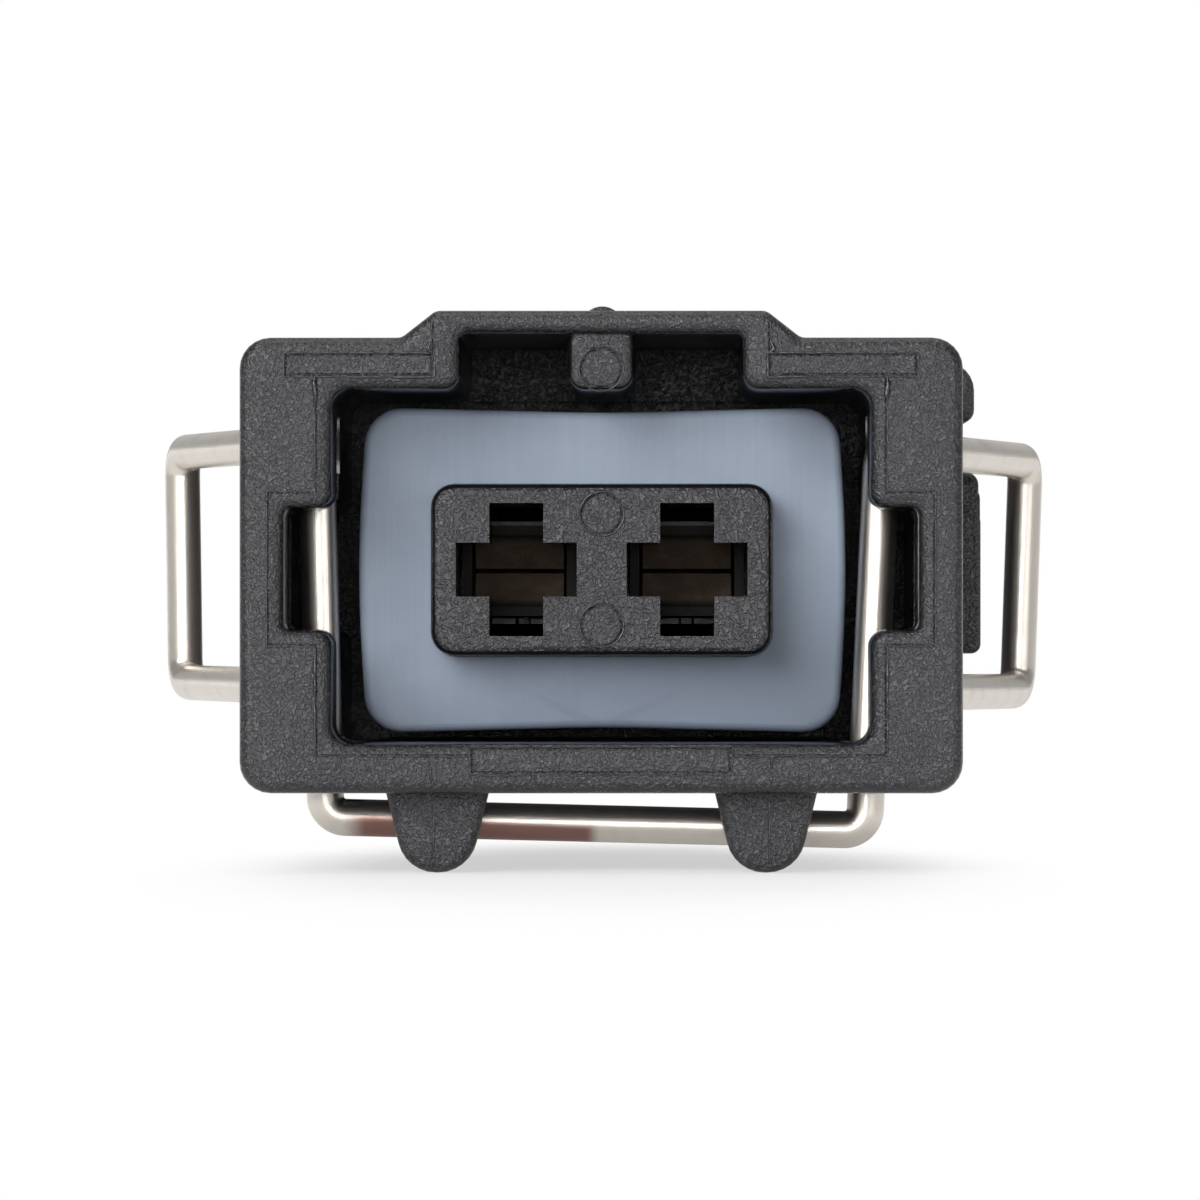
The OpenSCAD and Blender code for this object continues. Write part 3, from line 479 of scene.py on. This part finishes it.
def softened(piece, radius):
    """Breaks a piece's crisp edges with a small round, then evens its normals."""
    if radius > 0.0:
        bevel = piece.modifiers.new("Broken edges", "BEVEL")
        bevel.width = radius
        bevel.segments = 2
        bevel.limit_method = "ANGLE"
        bevel.angle_limit = CRISP_ANGLE
    even = piece.modifiers.new("Even normals", "WEIGHTED_NORMAL")
    even.keep_sharp = True
    return piece


def in_place_of(piece, node, body):
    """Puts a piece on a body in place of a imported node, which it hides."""
    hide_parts(node)
    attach(piece, body)


def thread(name, runs):
    """A mesh of open polylines; each run is a list of points with a dictionary of point values."""
    mesh = bpy.data.meshes.new(name)
    points = []
    edges = []
    values = {}
    for run in runs:
        first = len(points)
        for point, given in run:
            points.append(point)
            for key, value in given.items():
                values.setdefault(key, []).append(value)
        edges += [(i, i + 1) for i in range(first, len(points) - 1)]
    mesh.from_pydata(points, edges, [])
    for key, listed in values.items():
        mesh.attributes.new(key, "FLOAT", "POINT").data.foreach_set("value", listed)
    return placed(name, mesh)


class Growth(Graph):
    """A Geometry Nodes tree with one mesh in, one mesh out and named inputs."""

    def __init__(self, name, **inputs):
        tree = bpy.data.node_groups.new(name, "GeometryNodeTree")
        super().__init__(tree)
        tree.interface.new_socket("Geometry", in_out="INPUT", socket_type="NodeSocketGeometry")
        tree.interface.new_socket("Geometry", in_out="OUTPUT", socket_type="NodeSocketGeometry")
        self.values = {}
        for key, value in inputs.items():
            kind = "NodeSocketInt" if isinstance(value, int) else "NodeSocketFloat"
            made = tree.interface.new_socket(key, in_out="INPUT", socket_type=kind)
            self.values[made.identifier] = value
        self.source = tree.nodes.new("NodeGroupInput")

    def given(self, key):
        """One of the tree's inputs."""
        return Field(self, self.socket(self.source.outputs, key))

    def named(self, key):
        """A point value of the mesh."""
        return self.node("GeometryNodeInputNamedAttribute", {"data_type": "FLOAT"}, {"Name": key}, "Attribute")

    def line(self):
        """The mesh that comes in, as curves."""
        return self.node("GeometryNodeMeshToCurve", None, {"Mesh": self.given("Geometry")})

    def stored(self, geometry, key, kind, value):
        """A geometry whose points keep a value under a name."""
        return self.node(
            "GeometryNodeStoreNamedAttribute",
            {"data_type": kind, "domain": "POINT"},
            {"Geometry": geometry, "Name": key, "Value": value},
        )

    def ring(self, sides, radius):
        """A round profile."""
        return self.node(
            "GeometryNodeCurvePrimitiveCircle", {"mode": "RADIUS"}, {"Resolution": sides, "Radius": radius}
        )

    def swept(self, curve, profile, girth):
        """A profile drawn along curves at the girth of their points, with closed ends."""
        return self.node(
            "GeometryNodeCurveToMesh",
            None,
            {"Curve": curve, "Profile Curve": profile, "Scale": girth, "Fill Caps": True},
        )

    def strewn(self, seed, scale, detail, output=0):
        """Noise over the points' places with a seed and so many features to a metre."""
        return self.node(
            "ShaderNodeTexNoise",
            {"noise_dimensions": "4D"},
            {"Vector": self.spot(), "W": seed, "Scale": scale, "Detail": detail},
            output,
        )

    def spot(self):
        """The points' places."""
        return self.node("GeometryNodeInputPosition")

    def finished(self, mesh, material):
        """Ends the tree in plain geometry with a material."""
        plain = self.node("GeometryNodeRealizeInstances", None, {"Geometry": mesh})
        dressed = self.node("GeometryNodeSetMaterial", None, {"Geometry": plain, "Material": material})
        self.node("NodeGroupOutput", None, {"Geometry": dressed})

    def grown(self, piece):
        """Turns what the tree makes of a piece into that piece's plain mesh."""
        modifier = piece.modifiers.new(self.tree.name, "NODES")
        modifier.node_group = self.tree
        for identifier, value in self.values.items():
            modifier[identifier] = value
        depsgraph = bpy.context.evaluated_depsgraph_get()
        made = bpy.data.meshes.new_from_object(
            piece.evaluated_get(depsgraph), preserve_all_data_layers=True, depsgraph=depsgraph
        )
        piece.modifiers.clear()
        piece.data = made
        made.name = piece.name
        if not made.polygons:
            raise RuntimeError(f"{piece.name} came out empty")
        return piece


def strayed(piece, node):
    """The largest distance between a side of a piece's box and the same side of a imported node's box."""
    axes = zip(*(vertex.co for vertex in piece.data.vertices))
    return max(max(abs(min(axis) - low), abs(max(axis) - high)) for axis, low, high in zip(axes, *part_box(node)))


def clip_points(sizes):
    """The corners of the clip's wire from end to end, with their bend radius and the wire's girth."""
    lean = math.tan(sizes.leg_lean)
    ear_y = LOCK_REAR + sizes.ear_behind
    tail_y = sizes.leg_set_back + sizes.tail_start
    arm_x = sizes.leg_x + sizes.ear_level * lean
    flare = (sizes.ear_x - arm_x) / (ear_y - sizes.leg_set_back)
    tail_x = arm_x + flare * sizes.tail_start - sizes.ear_splay / 2
    tip = sizes.wire / 10

    def half(side):
        foot = Vector((tail_x, tail_y, -sizes.ear_level))
        low = Vector((sizes.ear_x - sizes.ear_splay / 2, ear_y, -sizes.ear_level))
        inner = foot + (low - foot).normalized() * tip
        bar_z = -sizes.bar_level - side * sizes.bar_slant / 2
        top_z = sizes.ear_level + sizes.ear_rise
        corners = (
            ((sizes.leg_x - sizes.bar_level * lean, sizes.leg_set_back, bar_z), sizes.bar_bend, 1.0),
            ((arm_x, sizes.leg_set_back, top_z), sizes.ear_bend, 1.0),
            ((sizes.ear_x + sizes.ear_splay / 2, ear_y, top_z), sizes.ear_bend, 1.0),
            (low, sizes.ear_bend, 1.0),
            (inner, 0.0, 1.0),
            (foot, 0.0, TIP_GIRTH),
        )
        turned = []
        for (x, y, z), bend, girth in corners:
            x *= side
            settled_x = x * math.cos(sizes.roll) + z * math.sin(sizes.roll) - sizes.shift
            settled_z = z * math.cos(sizes.roll) - x * math.sin(sizes.roll)
            turned.append(((settled_x, y, settled_z), {"bend": bend, "girth": girth}))
        return turned

    return half(-1)[::-1] + half(1)


def parting_runs(sizes):
    """The mould's parting lines on the hood in runs of points; the tables are in millimetres, girth last."""
    wall = [
        (8.30, 5.55, 0.6), (8.32, 5.38, 1.2), (8.27, 5.05, 1.3), (8.30, 4.75, 0.5), (8.30, 2.26, 0.4),
        (9.70, 2.26, 0.4), (9.70, -2.26, 0.4), (8.30, -2.26, 0.4), (8.30, -3.1, 0.9), (8.30, -5.42, 0.5),
        (7.0, -5.45, 0.4), (3.85, -5.45, 0.6),
    ]
    crown = [(4.90, 6.28, 0.8), (5.02, 6.40, 1.1), (4.92, 6.60, 0.5), (4.91, 7.11, 0.6)]
    insert = [(4.83, 6.27, 0.8), (9.21, 6.27, 0.4), (9.21, 5.57, 0.4), (4.83, 5.57, 0.9), (4.83, 6.27, 0.7)]
    seam = [(5.6, 0.0, -5.40), (4.95, 0.0, -5.42), (4.93, 0.0, -6.16), (4.93, 0.10, -6.38), (4.93, 0.34, -6.50)]
    tongue = [(4.90, 1.50, -6.55), (4.90, 1.50, -8.56), (4.90, 1.57, -8.72), (4.90, 1.70, -8.78)]
    lower = [(-3.81, -5.16), (3.81, -5.16), (3.81, -5.98), (-3.81, -5.98), (-3.81, -5.16)]
    ridge = [(0.0, -0.35), (0.10, -0.10), (0.35, 0.0), (3.8, 0.0)]
    top = (HOOD_TOP_FRONT - sizes.sink) / MM

    def spot(x, y, z, girth):
        """A point just under the surface, with the ridge's girth."""
        return (x * MM, y * MM + sizes.sink, z * MM), {"girth": girth, "polish": 1.0}

    runs = []
    for side in (-1, 1):
        for line in (wall, crown, insert):
            runs.append([spot(side * x, 0.0, z, girth) for x, z, girth in line])
        for line in (seam, tongue):
            runs.append([spot(side * x, y, z, LINE_GIRTH) for x, y, z in line])
    runs.append([spot(x, 0.0, z, WINDOW_GIRTH) for x, z in lower])
    turns = [2 * math.pi * step / MARK_STEPS for step in range(MARK_STEPS + 1)]
    circle = [(MARK_RADIUS * math.cos(turn), MARK_RADIUS * math.sin(turn)) for turn in turns]
    for depth, middle in MARKS:
        runs.append([spot(x, depth, middle + z, LINE_GIRTH) for x, z in circle])
    runs.append([spot(0.0, y, top + z, LINE_GIRTH) for y, z in ridge])
    return runs


class CONNECTOR_OT_mouldings(bpy.types.Operator):
    """Dresses the housing and the contact lock in grained plastic"""

    bl_idname = "connector.mouldings"
    bl_label = "Mouldings"

    def execute(self, context):
        finishes = context.scene.connector_finishes
        housing = welded("housing", "housing_moulding", grained_plastic("grained_housing", finishes, 1))
        softened(housing, 0.0)
        in_place_of(housing, "housing", "connector")
        lock = welded("contact_lock", "lock_slider", grained_plastic("grained_lock", finishes, 4))
        softened(lock, LOCK_ROUND)
        in_place_of(lock, "contact_lock", "lock")
        return {"FINISHED"}


class CONNECTOR_OT_rubbers(bpy.types.Operator):
    """Dresses the face seal and the wire grommet in rubber"""

    bl_idname = "connector.rubbers"
    bl_label = "Rubber seals"

    def execute(self, context):
        finishes = context.scene.connector_finishes
        for node, name, slot, seed in (
            ("face_seal", "seal_sleeve", "seal_rubber", 2),
            ("wire_grommet", "rear_grommet", "grommet_rubber", 6),
        ):
            piece = softened(welded(node, name, streaked_rubber(f"{name}_rubber", finishes, seed)), 0.0)
            in_place_of(piece, node, "connector")
        return {"FINISHED"}


class CONNECTOR_OT_contacts(bpy.types.Operator):
    """Dresses the two contacts and their spring sleeves in sheet metal"""

    bl_idname = "connector.contacts"
    bl_label = "Contacts"

    def execute(self, context):
        finishes = context.scene.connector_finishes
        bronze = rolled_metal("tarnished_bronze", finishes.bronze, finishes.tarnish, 3, 0.62, 0.15)
        steel = rolled_metal("sleeve_spring_steel", finishes.steel, finishes.steel_dull, 5, 0.30, 1.0)
        for side in ("left", "right"):
            contact = softened(welded(f"contact_{side}", f"contact_{side}_metal", bronze), CONTACT_ROUND)
            in_place_of(contact, f"contact_{side}", "connector")
            sleeve = softened(welded(f"contact_sleeve_{side}", f"sleeve_{side}_metal", steel), SLEEVE_ROUND)
            in_place_of(sleeve, f"contact_sleeve_{side}", "connector")
        return {"FINISHED"}


class CONNECTOR_OT_spring_clip(bpy.types.Operator):
    """Bends the locking clip from one length of round wire"""

    bl_idname = "connector.spring_clip"
    bl_label = "Spring clip"

    def execute(self, context):
        sizes = context.scene.connector_clip
        wire = drawn_wire("drawn_nickel_wire", context.scene.connector_finishes, 8)
        tree = Growth("Bent wire", **{"Wire diameter": sizes.wire, "Bend steps": 12, "Sides": 36})
        bent = tree.node(
            "GeometryNodeFilletCurve",
            {"mode": "POLY"},
            {"Curve": tree.line(), "Count": tree.given("Bend steps"), "Radius": tree.named("bend")},
        )
        length = tree.node("GeometryNodeSplineParameter", None, None, "Length")
        marked = tree.stored(bent, "along", "FLOAT", length)
        ring = tree.ring(tree.given("Sides"), tree.given("Wire diameter") * 0.5)
        rim = tree.node("ShaderNodeVectorMath", {"operation": "NORMALIZE"}, {0: tree.spot()})
        rimmed = tree.stored(ring, "rim", "FLOAT_VECTOR", rim)
        tree.finished(tree.swept(marked, rimmed, tree.named("girth")), wire)
        clip = tree.grown(thread("locking_clip", [clip_points(sizes)]))
        clip.data.shade_smooth()
        clip.data.set_sharp_from_angle(angle=CRISP_ANGLE)
        drift = strayed(clip, "spring_clip")
        if drift > CLIP_DRIFT:
            raise RuntimeError(f"the clip is {drift / MM:.3f} mm away from its solid")
        in_place_of(clip, "spring_clip", "connector")
        return {"FINISHED"}


class CONNECTOR_OT_parting_lines(bpy.types.Operator):
    """Lays the uneven flash along the mould's parting lines on the hood"""

    bl_idname = "connector.parting_lines"
    bl_label = "Parting lines"

    def execute(self, context):
        sizes = context.scene.connector_flash
        plastic = grained_plastic("rubbed_flash", context.scene.connector_finishes, 9, 0.02)
        tree = Growth(
            "Flash ridge",
            **{"Ridge radius": sizes.ridge, "Wobble": sizes.wobble, "Step": sizes.step, "Seed": sizes.seed},
        )
        cut = tree.node(
            "GeometryNodeResampleCurve",
            {"mode": "LENGTH"},
            {"Curve": tree.line(), "Length": tree.given("Step")},
        )
        pattern = tree.strewn(tree.given("Seed"), 3.2 / MM, 2.0, "Color")
        centred = tree.node("ShaderNodeVectorMath", {"operation": "SUBTRACT"}, {0: pattern, 1: (0.5, 0.5, 0.5)})
        flat = tree.node("ShaderNodeVectorMath", {"operation": "MULTIPLY"}, {0: centred, 1: (2.0, 0.0, 2.0)})
        stray = tree.node("ShaderNodeVectorMath", {"operation": "SCALE"}, {0: flat, "Scale": tree.given("Wobble")})
        moved = tree.node("GeometryNodeSetPosition", None, {"Geometry": cut, "Offset": stray})
        thin = tree.strewn(tree.given("Seed") * 2.0, 2.1 / MM, 3.0)
        girth = tree.named("girth") * tree.between(thin, 0.34, 0.6, 0.45, 1.0)
        ring = tree.ring(6, tree.given("Ridge radius"))
        tree.finished(tree.swept(moved, ring, girth), plastic)
        flash = tree.grown(thread("parting_flash", parting_runs(sizes)))
        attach(flash, "connector")
        return {"FINISHED"}


class CONNECTOR_OT_stage(bpy.types.Operator):
    """Sets the pale floor, the soft lamps, the white surroundings and the camera"""

    bl_idname = "connector.stage"
    bl_label = "Stage"

    def execute(self, context):
        sizes = context.scene.connector_stage
        context.scene.view_settings.view_transform = "Standard"
        self.floor(sizes)
        self.world(context, sizes)
        for made in LAMPS:
            lamp(*made)
        eye = placed("camera", bpy.data.cameras.new("camera"))
        eye.data.sensor_width = 36.0
        eye.data.lens = sizes.lens
        eye.data.clip_start = 0.01
        eye.location = sizes.camera_at
        aim = Vector(sizes.camera_aim) - Vector(sizes.camera_at)
        eye.rotation_euler = aim.to_track_quat("-Z", "Y").to_euler()
        context.scene.camera = eye
        return {"FINISHED"}

    def floor(self, sizes):
        """A square floor that the object stands on."""
        mesh = bpy.data.meshes.new("studio_floor")
        corners = [(-1, -1), (1, -1), (1, 1), (-1, 1)]
        mesh.from_pydata([(x * FLOOR_REACH, y * FLOOR_REACH, FLOOR_LEVEL) for x, y in corners], [], [(0, 1, 2, 3)])
        floor = placed("studio_floor", mesh)
        material = bpy.data.materials.new("pale_floor")
        material.use_nodes = True
        graph = Graph(material.node_tree)
        spot = graph.node("ShaderNodeTexCoord", None, None, "Object")
        flat = graph.stretched(spot, (1.0 / GREY_ACROSS, 1.0 / GREY_ALONG, 0.0))
        reached = graph.node("ShaderNodeVectorMath", {"operation": "LENGTH"}, {0: flat}, "Value")
        seen = shown_rays(graph, sizes.mirrored)
        lit = graph.node("ShaderNodeBsdfDiffuse", None, {"Color": FLOOR_GREY})
        lift = graph.node("ShaderNodeEmission", None, {"Strength": FLOOR_LIFT})
        lifted = graph.node("ShaderNodeAddShader", None, {0: lit, 1: lift})
        near = graph.node("ShaderNodeMixShader", None, {0: seen, 1: lit, 2: lifted})
        white = graph.node("ShaderNodeEmission", None, {"Strength": 1.0})
        far = graph.between(reached, *GREY_FADE)
        mixed = graph.node("ShaderNodeMixShader", None, {0: far * seen, 1: near, 2: white})
        graph.node("ShaderNodeOutputMaterial", None, {"Surface": mixed})
        mesh.materials.append(material)

    def world(self, context, sizes):
        """White surroundings in view and in mirror images, and a weak even light."""
        world = bpy.data.worlds.new("white_surroundings")
        world.use_nodes = True
        context.scene.world = world
        graph = Graph(world.node_tree)
        direction = graph.node("ShaderNodeTexCoord", None, None, "Generated")
        depth = graph.node("ShaderNodeSeparateXYZ", None, {"Vector": direction}, "Y")
        seen = shown_rays(graph, sizes.mirrored)
        beside = graph.between(depth, *SIDE_TURN, sizes.camera_side, sizes.flank)
        behind = graph.between(depth, *BACK_TURN, 0.0, 1.0 - sizes.flank)
        strength = sizes.ambient * (1.0 - seen) + (beside + behind) * seen
        light = graph.node("ShaderNodeBackground", None, {"Color": WHITE, "Strength": strength})
        graph.node("ShaderNodeOutputWorld", None, {"Surface": light})


def shown_rays(graph, mirrored):
    """1 for rays from the camera or through something clear, a share for mirror images and 0 for the rest."""
    camera, glossy, through = (
        graph.node("ShaderNodeLightPath", None, None, kind)
        for kind in ("Is Camera Ray", "Is Glossy Ray", "Is Transmission Ray")
    )
    return camera.math("MINIMUM", camera + glossy * mirrored + through, 1.0)


def lamp(name, at, width, watts, mirrored):
    """A square soft lamp turned to the object, which glossy surfaces mirror or not."""
    light = bpy.data.lights.new(name, "AREA")
    light.shape = "SQUARE"
    light.size = width
    light.energy = watts
    holder = placed(name, light)
    holder.location = at
    holder.visible_glossy = mirrored
    holder.rotation_euler = (-Vector(at)).to_track_quat("-Z", "Y").to_euler()


class CONNECTOR_PT_pieces(bpy.types.Panel):
    """Lists the steps that build the connector"""

    bl_idname = "CONNECTOR_PT_pieces"
    bl_label = "Two-way connector"
    bl_space_type = "VIEW_3D"
    bl_region_type = "UI"
    bl_category = "Connector"

    def draw(self, context):
        for step in STEPS:
            self.layout.operator(step.bl_idname)
        for group, made in SETTINGS.items():
            box = self.layout.box()
            for key in made.__annotations__:
                box.prop(getattr(context.scene, group), key)


STEPS = (
    CONNECTOR_OT_stage,
    CONNECTOR_OT_mouldings,
    CONNECTOR_OT_rubbers,
    CONNECTOR_OT_contacts,
    CONNECTOR_OT_spring_clip,
    CONNECTOR_OT_parting_lines,
)
SETTINGS = {
    "connector_clip": ClipSizes,
    "connector_flash": FlashSizes,
    "connector_finishes": Finishes,
    "connector_stage": StageSizes,
}


def register():
    for made in (*SETTINGS.values(), *STEPS, CONNECTOR_PT_pieces):
        bpy.utils.register_class(made)
    for group, made in SETTINGS.items():
        setattr(bpy.types.Scene, group, PointerProperty(type=made))


def unregister():
    for group in SETTINGS:
        delattr(bpy.types.Scene, group)
    for made in (CONNECTOR_PT_pieces, *reversed(STEPS), *reversed(SETTINGS.values())):
        bpy.utils.unregister_class(made)


def main():
    """Builds everything in order."""
    register()
    bpy.ops.connector.stage()
    bpy.ops.connector.mouldings()
    bpy.ops.connector.rubbers()
    bpy.ops.connector.contacts()
    bpy.ops.connector.spring_clip()
    bpy.ops.connector.parting_lines()


if __name__ == "__main__":
    main()
